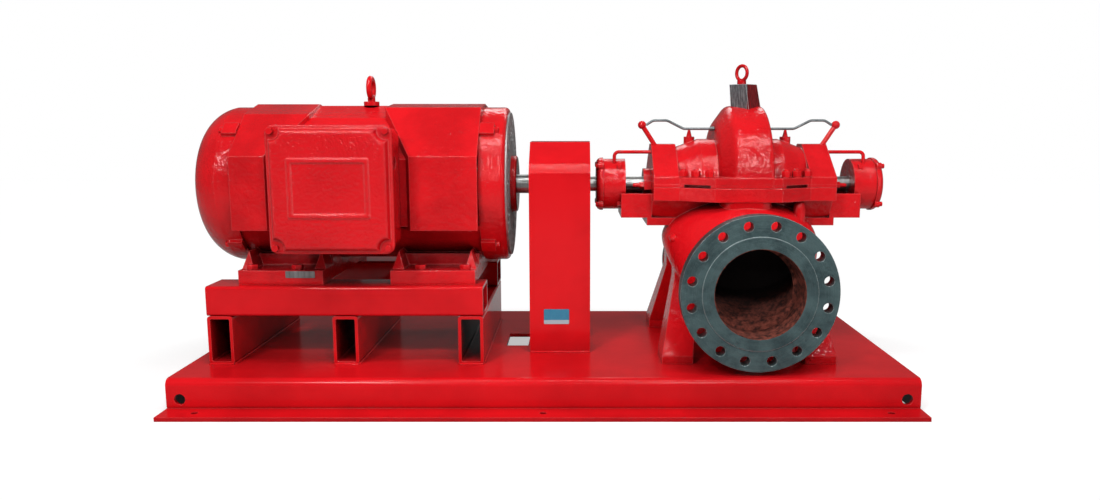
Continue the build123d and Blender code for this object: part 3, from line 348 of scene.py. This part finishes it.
def makeLowerCasing():
    made, tree, shader = redPaint("lowerCasingRed", castPaint)
    place = addNode(tree, "ShaderNodeTexCoord").outputs["Object"]
    for x, z, sign, bare, bore in ((pumpX, suctionZ, -1, 0.3714, 0.1285), (pumpX, dischargeZ, 1, 0.3777, 0.1030)):
        turned = useGroup(tree, aboutY, X=x, Z=z)
        outward = maths(tree, "MULTIPLY", turned["Y"], float(sign))
        onFlange = maths(tree, "GREATER_THAN", outward, bare)
        inBore = maths(tree, "MULTIPLY", maths(tree, "LESS_THAN", turned["Radius"], bore),
                       maths(tree, "GREATER_THAN", outward, bore * 2.3))
        if sign < 0:
            inBore = maths(tree, "MAXIMUM", inBore, useGroup(tree, chestPassage)["Inside"])
        rings = addNode(tree, "ShaderNodeTexNoise", noise_dimensions="1D")
        feed(tree, rings.inputs["W"], maths(tree, "MULTIPLY", turned["Radius"], 260.0))
        rings.inputs["Detail"].default_value = 3.0
        cloud = noise(tree, place, 16.0, 5.0, 0.65)
        grain = noise(tree, place, 600.0, 2.0)
        metal = blendColours(tree, ramp(tree, cloud, 0.35, 0.7), flangeLook["metal"], flangeLook["shade"])
        metal = blendColours(tree, ramp(tree, rings.outputs["Fac"], 0.55, 0.75, 0.0, 0.35), metal, flangeLook["pale"])
        edge = useGroup(tree, softEdge, Radius=0.0022)
        # Painted highlight: the flanges' edges and bolt-hole rims are lightened to a pale metal
        metal = blendColours(tree, maths(tree, "MULTIPLY", edge["Edge"], 0.8), metal, (0.62, 0.70, 0.70, 1))
        rust = blendColours(tree, ramp(tree, noise(tree, place, 60.0, 6.0, 0.7), 0.35, 0.65), flangeLook["rustPale"],
                            flangeLook["rustDeep"])
        layOver(tree, shader, onFlange, metal, ramp(tree, grain, 0.3, 0.7, 0.38, 0.6), 0.55)
        # Painted shade: the bore's rust darkens to near black the deeper it lies inside the nozzle
        deep = ramp(tree, outward, 0.16, bare - 0.05, 1.0, 0.0)
        rust = blendColours(tree, deep, rust, (0.006, 0.003, 0.003, 1))
        layOver(tree, shader, inBore, rust, 0.85, 0.0)
    return made


# Upper casing: the square lifting boss is machined bare on one side and only washed with paint on the other
def makeUpperCasing():
    made, tree, shader = redPaint("upperCasingRed", castPaint)
    place = addNode(tree, "ShaderNodeTexCoord").outputs["Object"]
    parts = addNode(tree, "ShaderNodeSeparateXYZ")
    tree.links.new(place, parts.inputs[0])
    high = maths(tree, "GREATER_THAN", parts.outputs["Z"], 0.838)
    left = maths(tree, "LESS_THAN", parts.outputs["X"], bossX)
    stretch = addNode(tree, "ShaderNodeMapping")
    stretch.inputs["Scale"].default_value = (260.0, 260.0, 30.0)
    tree.links.new(place, stretch.inputs["Vector"])
    streak = noise(tree, stretch.outputs["Vector"], 1.0, 4.0, 0.7)
    bare = blendColours(tree, ramp(tree, streak, 0.3, 0.65), (0.34, 0.37, 0.38, 1), (0.09, 0.10, 0.11, 1))
    wash = blendColours(tree, ramp(tree, streak, 0.3, 0.7), (0.42, 0.025, 0.03, 1), (0.11, 0.012, 0.015, 1))
    edge = useGroup(tree, softEdge, Radius=0.003, Gain=9.0)
    face = blendColours(tree, left, wash, bare)
    # Painted highlight: the boss's edges are lightened to a pale grey
    face = blendColours(tree, edge["Edge"], face, (0.60, 0.62, 0.62, 1))
    layOver(tree, shader, high, face, 0.42, 0.5)
    return made


lowerCasingRed = makeLowerCasing()
upperCasingRed = makeUpperCasing()

finishes = {
    deckRed: ["base_deck"],
    coverRed: ["terminal_box_cover", "terminal_box"],
    lowerCasingRed: ["pump_lower_casing"],
    upperCasingRed: ["pump_upper_casing"],
    shaftSteel: ["motor_shaft", "pump_shaft", "coupling_hub_motor", "coupling_hub_pump"],
    elementRubber: ["coupling_element"],
    tubeSteel: ["flush_tube_left", "flush_tube_right"],
    screenSteel: ["motor_air_screen"],
    sheetRed: [n for n in nodes if n.startswith(("base_end", "base_cross", "riser_", "guard_"))],
    smallRed: [n for n in nodes if n.startswith(("air_cock", "flush_nipple", "seal_pipe", "motor_eye", "pump_eye"))],
}
painted = {n: material for material, names in finishes.items() for n in names}
for name, piece in nodes.items():
    piece.data.materials.clear()
    piece.data.materials.append(painted.get(name, castRed))
print("materials laid on", len(nodes), "nodes")


# Mesh helpers. A grid of points becomes quads, joined round where its columns close.
def gridFaces(rows, columns, closed=True):
    across = columns if closed else columns - 1
    i, j = np.meshgrid(np.arange(rows - 1), np.arange(across), indexing="ij")
    k = (j + 1) % columns
    quads = np.stack([i * columns + j, i * columns + k, (i + 1) * columns + k, (i + 1) * columns + j], axis=-1)
    return quads.reshape(-1, 4)


def pieceFrom(name, points, faces, material, body="root", smooth=True):
    mesh = bpy.data.meshes.new(name)
    mesh.from_pydata(np.asarray(points, float).reshape(-1, 3).tolist(), [], [list(map(int, f)) for f in faces])
    mesh.update()
    mesh.polygons.foreach_set("use_smooth", np.full(len(mesh.polygons), smooth))
    mesh.materials.append(material)
    piece = bpy.data.objects.new(name, mesh)
    bpy.context.collection.objects.link(piece)
    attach(piece, body)
    return piece


# Rotation whose third column is the wanted axis; the other two are square to it, turned by spin
def axisFrame(axis, spin=0.0):
    z = np.asarray(axis, float) / np.linalg.norm(axis)
    side = np.array([0.0, 0.0, 1.0]) if abs(z[2]) < 0.9 else np.array([1.0, 0.0, 0.0])
    x = np.cross(side, z)
    x /= np.linalg.norm(x)
    y = np.cross(z, x)
    c, s = np.cos(spin), np.sin(spin)
    return np.stack([c * x + s * y, -s * x + c * y, z], axis=1)


# Turned shape: a circle of each row's radius at each row's height. A hexagon row has radius a / cos(angle
# within its flat), cut back to its chamfer circle.
def turnedGrid(profile, sides):
    angle = np.arange(sides) / sides * 2 * pi
    rows = []
    for radius, height, chamfer in profile:
        r = np.full(sides, radius)
        if chamfer:
            r = np.minimum(radius / np.cos((angle + pi / 6) % (pi / 3) - pi / 6), chamfer)
        rows.append(np.stack([r * np.cos(angle), r * np.sin(angle), np.full(sides, height)], axis=-1))
    return np.stack(rows)


# Many copies of one turned shape in one mesh, each at its place, along its axis, turned by its spin
def turnedPieces(name, places, profile, material, sides=24, body="root", smooth=False):
    grid = turnedGrid(profile, sides)
    shape = grid.reshape(-1, 3)
    quads = gridFaces(len(grid), sides)
    lid = np.arange(sides) + (len(grid) - 1) * sides
    base = np.arange(sides)[::-1]
    points, faces = [], []
    for number, (place, axis, spin) in enumerate(places):
        points.append(shape @ axisFrame(axis, spin).T + np.asarray(place, float))
        start = number * len(shape)
        faces += (quads + start).tolist() + [(lid + start).tolist(), (base + start).tolist()]
    return pieceFrom(name, np.concatenate(points), faces, material, body, smooth)


# Hex nut on a stud: washer, six flats with both chamfers, then the stud's rounded end
def nutProfile(flats, height, washer, stud, proud):
    a = flats / 2
    tip = a / np.cos(pi / 6)
    return [(washer, 0.0, 0), (washer, flats * 0.08, 0), (a * 0.97, flats * 0.08, a * 0.99), (a, flats * 0.14, tip * 1.01),
            (a, flats * 0.08 + height * 0.86, tip * 1.01), (a, flats * 0.08 + height, a * 0.98),
            (stud, flats * 0.08 + height, 0), (stud, flats * 0.08 + height + proud * 0.8, 0),
            (stud * 0.75, flats * 0.08 + height + proud, 0)]


# Hex bolt head: six flats with the top chamfer and a shallow crown
def headProfile(flats, height):
    a = flats / 2
    tip = a / np.cos(pi / 6)
    return [(a * 1.05, 0.0, 0), (a * 1.05, height * 0.08, 0), (a, height * 0.09, tip * 1.01), (a, height * 0.82, tip * 1.01),
            (a, height, a * 0.97), (a * 0.5, height * 1.02, 0)]


# Weld bead: a round profile carried along a polyline; its radius swells and falls once every ripple
def weldBead(name, runs, radius, material, ripple=0.006):
    points, faces, count = [], [], 0
    turn = np.arange(8) / 8 * 2 * pi
    for start, end in runs:
        a, b = np.asarray(start, float), np.asarray(end, float)
        length = np.linalg.norm(b - a)
        steps = max(6, int(length / ripple * 3))
        t = np.linspace(0, 1, steps)
        r = radius * (1 + 0.14 * np.abs(np.sin(t * length / ripple * pi)) + 0.10 * np.sin(t * length * 70 + a.sum() * 40))
        r[[0, -1]] *= 0.3
        m = axisFrame(b - a)
        ring = np.cos(turn)[:, None] * m[:, 0] + np.sin(turn)[:, None] * m[:, 1]
        grid = (a + t[:, None] * (b - a))[:, None, :] + r[:, None, None] * ring[None]
        points.append(grid.reshape(-1, 3))
        faces += (gridFaces(steps, 8) + count).tolist()
        faces += [(np.arange(8)[::-1] + count).tolist(), (np.arange(8) + count + (steps - 1) * 8).tolist()]
        count += steps * 8
    return pieceFrom(name, np.concatenate(points), faces, material)


up, forward, left, right, back = (0, 0, 1), (0, -1, 0), (-1, 0, 0), (1, 0, 0), (0, 1, 0)

# Closed solid between rings of equal length, laid row after row, with a flat face at both ends
def lofted(rings):
    rows = np.asarray(rings, float)
    count, columns = rows.shape[:2]
    first, last = np.arange(columns)[::-1], np.arange(columns) + (count - 1) * columns
    return rows.reshape(-1, 3), gridFaces(count, columns).tolist() + [first.tolist(), last.tolist()]


# One mesh out of several closed solids; each keeps its own faces
def solidsPiece(name, solids, material, replaced):
    points, faces, start = [], [], 0
    for cloud, quads in solids:
        points.append(cloud)
        faces += [[v + start for v in face] for face in quads]
        start += len(cloud)
    piece = pieceFrom(name, np.concatenate(points), faces, material, smooth=False)
    shape = bmesh.new()
    shape.from_mesh(piece.data)
    bmesh.ops.remove_doubles(shape, verts=shape.verts, dist=0.00002)
    bmesh.ops.recalc_face_normals(shape, faces=shape.faces)
    shape.to_mesh(piece.data)
    shape.free()
    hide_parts(replaced)
    return piece


# Circle arc of a corner rounded off: centre plus radius times (cos, sin) of each angle
def arc(centre, radius, start, end, count=7):
    angle = np.linspace(start, end, count)
    return np.stack([centre[0] + radius * np.cos(angle), centre[1] + radius * np.sin(angle)], axis=-1)


# Outline of a plate in x, z mirrored from its first quarter, which runs from the side to the top
def quartered(corner):
    return np.concatenate([corner, corner[::-1] * (-1, 1), corner * (-1, -1), corner[::-1] * (1, -1)])


def plateRing(outline, middle, y):
    return np.stack([middle[0] + outline[:, 0], np.full(len(outline), y), middle[1] + outline[:, 1]], axis=-1)


# Terminal box cover: rim plate, lid cut back round its four bolts, and a plain raised frame
cover = {"middle": (-0.590, 0.618), "half": (0.1748, 0.1793), "back": -0.3702, "rim": -0.382, "front": -0.399,
         "corner": 0.026, "inset": 0.010, "notch": 0.024, "notchInset": 0.017, "slope": 0.0079,
         "frameHalf": (0.1135, 0.0835), "frameMiddle": (-0.5905, 0.623), "frameLine": 0.014, "frameFront": -0.4019}


def rimOutline(inset):
    a, b = cover["half"][0] - inset, cover["half"][1] - inset
    r = cover["corner"] - inset
    return quartered(arc((a - r, b - r), r, 0, pi / 2))


def lidOutline(inset):
    a, b = (h - cover["inset"] - inset for h in cover["half"])
    xc, zc = (h - cover["notchInset"] for h in cover["half"])
    r = cover["notch"] + inset
    start, end = -np.arccos((a - xc) / r), np.pi - np.arcsin((b - zc) / r) - 2 * pi
    return quartered(arc((xc, zc), r, start, end, 11))


rimRows = ((0.003, cover["back"]), (0.0, cover["back"] - 0.003), (0.0, cover["rim"] + 0.003), (0.003, cover["rim"]))
lidRows = ((0.0, cover["rim"] + 0.001), (0.0, cover["rim"]), (cover["slope"] * 0.3, -0.3885), (cover["slope"] * 0.8, -0.3965),
           (cover["slope"] * 1.25, -0.3984), (cover["slope"] * 1.7, cover["front"]))


def frameRing(grow, y):
    a, b = (h + grow for h in cover["frameHalf"])
    return plateRing(quartered(arc((a - 0.004, b - 0.004), 0.004, 0, pi / 2, 4)), cover["frameMiddle"], y)


# The raised frame is a tube round a rectangle: its section's rows close on themselves
frameRows = np.stack([frameRing(*row) for row in ((0.0, -0.3985), (-0.0015, -0.4012), (-0.003, cover["frameFront"]),
                      (-0.011, cover["frameFront"]), (-0.0125, -0.4012), (-0.014, -0.3985), (0.0, -0.3985))])
solidsPiece("terminalBoxLid", [lofted([plateRing(rimOutline(i), cover["middle"], y) for i, y in rimRows]),
            lofted([plateRing(lidOutline(i), cover["middle"], y) for i, y in lidRows]),
            (frameRows.reshape(-1, 3), gridFaces(7, frameRows.shape[1]).tolist())], coverRed, "terminal_box_cover")

# Air shrouds: a roofed section, its inner end cut off slanting down both sides to the roof's shoulders
shrouds = {"side": 0.265, "sideTop": 0.7065, "low": 0.490, "shoulderY": 0.120, "bevel": 0.094,
           "left": {"node": "motor_shroud_left", "outer": -0.917, "inner": -0.719, "shoulderZ": 0.829, "crown": 0.861},
           "right": {"node": "motor_shroud_right", "outer": -0.197, "inner": -0.488, "shoulderZ": 0.849, "crown": 0.862}}


def shroudRing(x, look, halfWidth, sideTop):
    y, z = shrouds["shoulderY"], look["shoulderZ"]
    half = [(-halfWidth, shrouds["low"]), (-halfWidth, sideTop), (-y, z), (0.0, look["crown"])]
    outline = np.array(half + [(-a, b) for a, b in half[2::-1]])
    return np.stack([np.full(len(outline), x), outline[:, 0], outline[:, 1]], axis=-1)


for side, look in ((s, shrouds[s]) for s in ("left", "right")):
    turn = 1 if side == "left" else -1
    rings = [shroudRing(look["outer"], look, shrouds["side"], shrouds["sideTop"]),
             shroudRing(look["inner"] - turn * shrouds["bevel"], look, shrouds["side"], shrouds["sideTop"]),
             shroudRing(look["inner"], look, shrouds["shoulderY"], look["shoulderZ"])]
    if side == "left":
        rings = [ring[::-1] for ring in rings]
    solidsPiece("motorShroud" + side.capitalize(), [lofted(rings)], castRed, look["node"])

# Upper half casing: flange with relief slots at the joint, barrel, leaning volute ring, roofed end blocks, vent bosses
upper = {"left": 0.326, "right": 0.880, "blockLength": 0.078, "joint": 0.609, "slotTop": 0.618, "flangeTop": 0.640,
         "endY": 0.160, "blockY": 0.1594, "midY": 0.216, "midHalf": 0.100, "rearShift": 0.030, "slotDepth": 0.015, "slotShare": 0.74,
         "barrel": ((0.356, 0.100), (0.476, 0.143), (0.730, 0.143), (0.850, 0.100)),
         "volute": ((-0.078, 0.060), (-0.078, 0.186), (-0.034, 0.247), (0.078, 0.247), (0.078, 0.060)),
         "voluteRound": (0, 0.020, 0.014, 0.012, 0), "roofY": 0.030, "roofZ": 0.736, "ventX": 0.153, "ventTop": 0.759,
         "ventRadius": 0.017}


# Plan of the flange; where slotted, each slanting edge steps in over the middle of its length
def flangePlan(slotted):
    ends = []
    for fx, fy in ((-1, -1), (1, -1), (1, 1), (-1, 1)):
        p = np.array([pumpX + fx * (upper["right"] - pumpX - upper["blockLength"]), fy * upper["endY"]])
        q = np.array([pumpX + fx * upper["midHalf"], fy * upper["midY"] + (upper["rearShift"] if fy > 0 else 0)])
        corner = np.array([pumpX + fx * (upper["right"] - pumpX), fy * upper["endY"]])
        along = q - p
        inward = np.array([along[1], -along[0]]) / np.linalg.norm(along) * upper["slotDepth"]
        inward *= -np.sign(inward[1] * fy)
        a, b = p + along * (1 - upper["slotShare"]) / 2, p + along * (1 + upper["slotShare"]) / 2
        run = [corner, p, a, a + inward, b + inward, b, q] if slotted else [corner, p, q]
        ends.append(run if fx * fy > 0 else run[::-1])
    return np.concatenate(ends)


def upright(plan, z):
    return np.column_stack([plan, np.full(len(plan), z)])


# Polygon with its corners turned into arcs: each corner is replaced by points on a quadratic curve through its ends
def roundedPath(points, rounds, count=7):
    path = []
    for i, (p, r) in enumerate(zip(points, rounds)):
        p = np.array(p)
        if not r:
            path.append(p[None])
            continue
        a, b = np.array(points[i - 1]) - p, np.array(points[(i + 1) % len(points)]) - p
        a, b = p + a / np.linalg.norm(a) * r, p + b / np.linalg.norm(b) * r
        t = np.linspace(0, 1, count)[:, None]
        path.append((1 - t) ** 2 * a + 2 * t * (1 - t) * p + t ** 2 * b)
    return np.concatenate(path)


# Half turn of a path in x, r about the line y = shift at the joint's height: y = shift - r cos, z = joint + r sin
def halfTurn(path, shift, count=49):
    angle = np.linspace(0, pi, count)[:, None]
    x, r = path[:, 0][None], path[:, 1][None]
    return np.stack([x + 0 * angle, shift - r * np.cos(angle), upper["joint"] + r * np.sin(angle)], axis=-1)


barrelPath = np.array([(upper["barrel"][0][0], 0.0), *upper["barrel"], (upper["barrel"][-1][0], 0.0)])
barrelPath[[0, -1], 1] = 0.001
volutePath = roundedPath(upper["volute"], upper["voluteRound"]) + (pumpX, 0)
parts = [lofted([upright(flangePlan(True), z) for z in (upper["joint"] + 0.0002, upper["slotTop"])]),
         lofted([upright(flangePlan(False), z) for z in (upper["slotTop"], upper["flangeTop"])]),
         lofted(halfTurn(barrelPath, 0.0)), lofted(halfTurn(volutePath, upper["rearShift"]))]
for x in (upper["left"], upper["right"] - upper["blockLength"]):
    half = [(-upper["blockY"], upper["slotTop"]), (-upper["blockY"], upper["flangeTop"]), (-upper["roofY"], upper["roofZ"])]
    outline = np.array(half + [(-y, z) for y, z in half[::-1]])
    parts.append(lofted([np.column_stack([np.full(6, x + d), outline]) for d in (0.0006, upper["blockLength"] - 0.0006)]))
turn = np.arange(24) / 24 * 2 * pi
for s in (-1, 1):
    ring = np.stack([pumpX + s * upper["ventX"] + upper["ventRadius"] * np.cos(turn), upper["ventRadius"] * np.sin(turn)], axis=-1)
    parts.append(lofted([upright(ring, z) for z in (0.70, upper["ventTop"])]))
solidsPiece("upperCasing", parts, castRed, "pump_upper_casing")

# Lifting boss: a square set on its corner, tapering and leaning back towards the middle
boss = {"foot": (0.630, 0.068, 0.834), "top": (0.618, 0.061, 0.922)}
diagonal = np.array([(1, 0), (0, 1), (-1, 0), (0, -1)]) * 0.5 ** 0.5
bossRings = [upright(diagonal * side + (x, 0), z) for x, side, z in (boss["foot"], boss["top"])]
solidsPiece("liftingBoss", [lofted(bossRings)], upperCasingRed, "pump_upper_casing")
print("casing, shrouds and box cover made")

# Nuts on the split flange's four slanting edges
splitFlange = {"top": 0.640, "flats": 0.024, "nut": 0.018, "washer": 0.0165, "stud": 0.008, "proud": 0.006,
               "frontXY": [(0.415, -0.150), (0.452, -0.169), (0.489, -0.190), (0.717, -0.190), (0.754, -0.169),
                           (0.791, -0.150)], "rearShift": 0.012}
spots = []
for x, y in splitFlange["frontXY"]:
    spots += [((x, y, splitFlange["top"]), up, x * 9), ((x, -y + splitFlange["rearShift"], splitFlange["top"]), up, x * 7)]
turnedPieces("splitFlangeNuts", spots, nutProfile(splitFlange["flats"], splitFlange["nut"], splitFlange["washer"],
             splitFlange["stud"], splitFlange["proud"]), smallRed)

# Motor foot bolts
footTop = 0.3716
footBolts = [((motorX + sx * 0.3175, sy * 0.2286, footTop), up, 0.3 * sx) for sx in (-1, 1) for sy in (-1, 1)]
footBolts += [((motorX + sx * 0.184, sy * 0.2286, footTop), up, 0.5) for sx in (-1, 1) for sy in (-1, 1)]
turnedPieces("motorFootBolts", footBolts, headProfile(0.030, 0.013), smallRed)

# Terminal box: one bolt in each notch of the lid
boxBolts = {"spread": [h - cover["notchInset"] for h in cover["half"]], "flats": 0.018, "height": 0.012}
spots = [((cover["middle"][0] + sx * boxBolts["spread"][0], cover["rim"], cover["middle"][1] + sz * boxBolts["spread"][1]),
          forward, 0.3 + sx * sz) for sx in (-1, 1) for sz in (-1, 1)]
turnedPieces("terminalBoxBolts", spots, headProfile(boxBolts["flats"], boxBolts["height"]), smallRed)

# Motor shields: bolts whose heads sit in the four lugs of each
shieldBolts = {"radius": 0.242, "driveX": -0.153, "freeX": -0.961, "flats": 0.020, "height": 0.012}
spots = []
for turn in (pi / 4, 3 * pi / 4, 5 * pi / 4, 7 * pi / 4):
    y, z = shieldBolts["radius"] * np.cos(turn), shaftZ + shieldBolts["radius"] * np.sin(turn)
    spots += [((shieldBolts["driveX"], y, z), right, turn), ((shieldBolts["freeX"], y, z), left, turn)]
turnedPieces("shieldBolts", spots, headProfile(shieldBolts["flats"], shieldBolts["height"]), smallRed)

# Glands: two studs with nuts through the ears, and a bolt either side
glands = {"leftX": 0.304, "rightX": 0.902, "ear": 0.062, "flats": 0.019, "nut": 0.014, "stud": 0.0065, "proud": 0.020}
spots = [((glands["leftX"], s * glands["ear"], shaftZ), left, 0.2) for s in (-1, 1)]
spots += [((glands["rightX"], s * glands["ear"], shaftZ), right, 0.2) for s in (-1, 1)]
turnedPieces("glandNuts", spots, nutProfile(glands["flats"], glands["nut"], glands["flats"] * 0.62, glands["stud"],
             glands["proud"]), smallRed)

# Two blind bosses on the chest's left shoulder and a drain boss at the right, under the split flange
bossProfile = [(1.0, 0.0, 0), (1.0, 0.55, 0), (0.94, 0.80, 0), (0.80, 0.94, 0), (0.55, 1.0, 0)]
for name, spot, axis, radius, height in (("chestBossLarge", (0.389, -0.080, 0.454), forward, 0.014, 0.092),
                                         ("chestBossSmall", (0.406, -0.100, 0.413), forward, 0.009, 0.085),
                                         ("drainBoss", (0.770, -0.150, 0.470), up, 0.020, 0.098)):
    turnedPieces(name, [(spot, axis, 0.0)], [(r * radius, h * height, c) for r, h, c in bossProfile], castRed, 32, smooth=True)

# Bearing housings: cover bolts in the ears, and flange bolts against the bracket walls
bearings = {"coverLeft": 0.161, "coverRight": 1.045, "coverReach": 0.084, "bodyReach": 0.080, "seat": 0.016,
            "leftInner": 0.246, "rightInner": 0.960, "flats": 0.015, "height": 0.010}
spots = []
for turn in np.arange(4) * pi / 2 + pi / 4:
    y, z = bearings["coverReach"] * np.cos(turn), shaftZ + bearings["coverReach"] * np.sin(turn)
    spots += [((bearings["coverLeft"] + 0.001, y, z), left, 0.4), ((bearings["coverRight"] - 0.001, y, z), right, 0.4)]
turnedPieces("bearingCoverBolts", spots, headProfile(bearings["flats"], bearings["height"]), smallRed)
spots = []
for turn in np.arange(4) * pi / 2 + pi / 4:
    y, z = bearings["bodyReach"] * np.cos(turn), shaftZ + bearings["bodyReach"] * np.sin(turn)
    spots += [((bearings["leftInner"] - bearings["seat"] + 0.001, y, z), left, 0.9),
              ((bearings["rightInner"] + bearings["seat"] - 0.001, y, z), right, 0.9)]
turnedPieces("bearingFlangeBolts", spots, headProfile(0.017, 0.011), smallRed)

# Weld beads where the riser's tubes stand on the deck and carry the rails
tubeMids = (-0.955, -0.587, -0.219)
runs = []
for x in tubeMids:
    for s in (-1, 1):
        runs.append(((x + s * 0.037, -0.295, 0.097), (x + s * 0.037, 0.295, 0.097)))
        runs.append(((x - 0.036, s * 0.297, 0.097), (x + 0.036, s * 0.297, 0.097)))
weldBead("riserWelds", runs, 0.0035, sheetRed)
guardRuns = [((-0.052, -0.160, 0.097), (0.133, -0.160, 0.097)), ((-0.052, 0.160, 0.097), (0.133, 0.160, 0.097))]
weldBead("guardWelds", guardRuns, 0.003, sheetRed)

# Blank plates: the guard's plain one, and the motor's rating plate that carries nothing
plates = [("guardPlate", (-0.009, -0.1602, 0.186), (0.078, 0.047), guardPlateFace),
          ("motorPlate", (-0.767, -0.2622, 0.3495), (0.087, 0.0205), plateMetal)]


# Thin plate: four nested rectangles with corners cut round, stepping forward to a flat face
def roundPlate(name, place, size, material, corner=0.003, thick=0.0012):
    turn = np.arange(24) / 24 * 2 * pi + pi / 24
    sx, sz = np.sign(np.cos(turn)), np.sign(np.sin(turn))
    def ring(inset, y):
        r = max(corner - inset, 0.0004)
        x = place[0] + size[0] / 2 + sx * (size[0] / 2 - inset - r) + r * np.cos(turn)
        z = place[2] + size[1] / 2 + sz * (size[1] / 2 - inset - r) + r * np.sin(turn)
        return np.stack([x, np.full(24, place[1] - y), z], axis=-1)
    rows = np.stack([ring(0, 0), ring(0, thick * 0.7), ring(thick * 0.3, thick), ring(thick * 2, thick)])
    faces = gridFaces(4, 24).tolist() + [list(range(72, 96)), list(range(23, -1, -1))]
    return pieceFrom(name, rows, faces, material, smooth=False)


for name, place, size, material in plates:
    roundPlate(name, place, size, material)

print("fasteners, welds and plates made")

# Studio: pale floor, camera and soft lamps
floorMesh = bpy.data.meshes.new("floor")
reach = 9.0
floorMesh.from_pydata([(-reach, -reach, 0), (reach, -reach, 0), (reach, reach, 0), (-reach, reach, 0)], [], [(0, 1, 2, 3)])
floor = bpy.data.objects.new("floor", floorMesh)
bpy.context.collection.objects.link(floor)
floor.location.z = -0.0005
floorPaint, tree, shader = startMaterial("floorPaint")
parts = addNode(tree, "ShaderNodeSeparateXYZ")
tree.links.new(addNode(tree, "ShaderNodeTexCoord").outputs["Object"], parts.inputs[0])
flat = addNode(tree, "ShaderNodeCombineXYZ")
tree.links.new(maths(tree, "MULTIPLY", parts.outputs["X"], 0.6), flat.inputs["X"])
tree.links.new(parts.outputs["Y"], flat.inputs["Y"])
reachOut = addNode(tree, "ShaderNodeVectorMath", operation="LENGTH")
tree.links.new(flat.outputs[0], reachOut.inputs[0])
far = ramp(tree, reachOut.outputs["Value"], 0.62, 1.15)
seen = addNode(tree, "ShaderNodeLightPath")
shown = maths(tree, "MAXIMUM", maths(tree, "MAXIMUM", seen.outputs["Is Camera Ray"], seen.outputs["Is Transmission Ray"]),
              maths(tree, "MULTIPLY", seen.outputs["Is Glossy Ray"], 0.2))
pale = blendColours(tree, seen.outputs["Is Camera Ray"], (0.36, 0.36, 0.36, 1), (0.74, 0.74, 0.74, 1))
feed(tree, shader.inputs["Base Color"], blendColours(tree, maths(tree, "MULTIPLY", shown, far), pale, (0.02, 0.02, 0.02, 1)))
shader.inputs["Roughness"].default_value = 0.9
shader.inputs["Specular IOR Level"].default_value = 0.0
shader.inputs["Emission Color"].default_value = (1, 1, 1, 1)
feed(tree, shader.inputs["Emission Strength"], maths(tree, "MULTIPLY", shown, ramp(tree, far, 0.0, 1.0, 0.52, 1.0)))
floorMesh.materials.append(floorPaint)

world = bpy.data.worlds.new("studio")
bpy.context.scene.world = world
world.use_nodes = True
tree = world.node_tree
seen = addNode(tree, "ShaderNodeLightPath")
direct = maths(tree, "MAXIMUM", seen.outputs["Is Camera Ray"], seen.outputs["Is Transmission Ray"])
shown = maths(tree, "MAXIMUM", direct, maths(tree, "MULTIPLY", seen.outputs["Is Glossy Ray"], 0.14))
background = tree.nodes["Background"]
background.inputs["Color"].default_value = (1, 1, 1, 1)
feed(tree, background.inputs["Strength"], maths(tree, "MAXIMUM", shown, 0.10))

cameraLook = {"place": (0.0932, -2.7319, 0.8022), "pitch": 81.5, "lens": 27.82, "shift": -0.0245}
cameraData = bpy.data.cameras.new("photoCamera")
cameraData.lens = cameraLook["lens"]
cameraData.sensor_width = 36.0
cameraData.shift_x = cameraLook["shift"]
photoCamera = bpy.data.objects.new("photoCamera", cameraData)
bpy.context.collection.objects.link(photoCamera)
photoCamera.location = cameraLook["place"]
photoCamera.rotation_euler = (radians(cameraLook["pitch"]), 0, 0)
bpy.context.scene.camera = photoCamera

lamps = {
    "keyLamp": {"place": (-1.9, -4.2, 3.7), "aim": (0, 0, 0.4), "size": (0.7, 0.5), "power": 88},
    "pumpLamp": {"place": (1.1, -4.0, 3.3), "aim": (0.5, 0, 0.6), "size": (0.6, 0.4), "power": 46},
    "topStrip": {"place": (0.2, -1.6, 3.9), "aim": (0.1, 0.0, 0.4), "size": (3.6, 0.18), "power": 70},
    "frontStrip": {"place": (-0.4, -4.4, 2.0), "aim": (0.1, 0.0, 0.5), "size": (2.6, 0.10), "power": 13},
    "rightStrip": {"place": (3.2, -3.0, 1.4), "aim": (0.3, 0, 0.5), "size": (0.2, 2.6), "power": 20},
    "leftStrip": {"place": (-3.2, -2.9, 1.4), "aim": (-0.4, 0, 0.5), "size": (0.16, 2.6), "power": 10},
    "backLamp": {"place": (0.4, 3.2, 3.0), "aim": (0, 0, 0.4), "size": (3.0, 0.8), "power": 34},
}
for name, look in lamps.items():
    data = bpy.data.lights.new(name, "AREA")
    data.shape = "RECTANGLE"
    data.size, data.size_y = look["size"]
    data.energy = look["power"]
    lamp = bpy.data.objects.new(name, data)
    bpy.context.collection.objects.link(lamp)
    lamp.location = look["place"]
    lamp.rotation_euler = (Vector(look["aim"]) - Vector(look["place"])).to_track_quat("-Z", "Y").to_euler()
bpy.context.scene.view_settings.view_transform = "Standard"

print("scene ready")
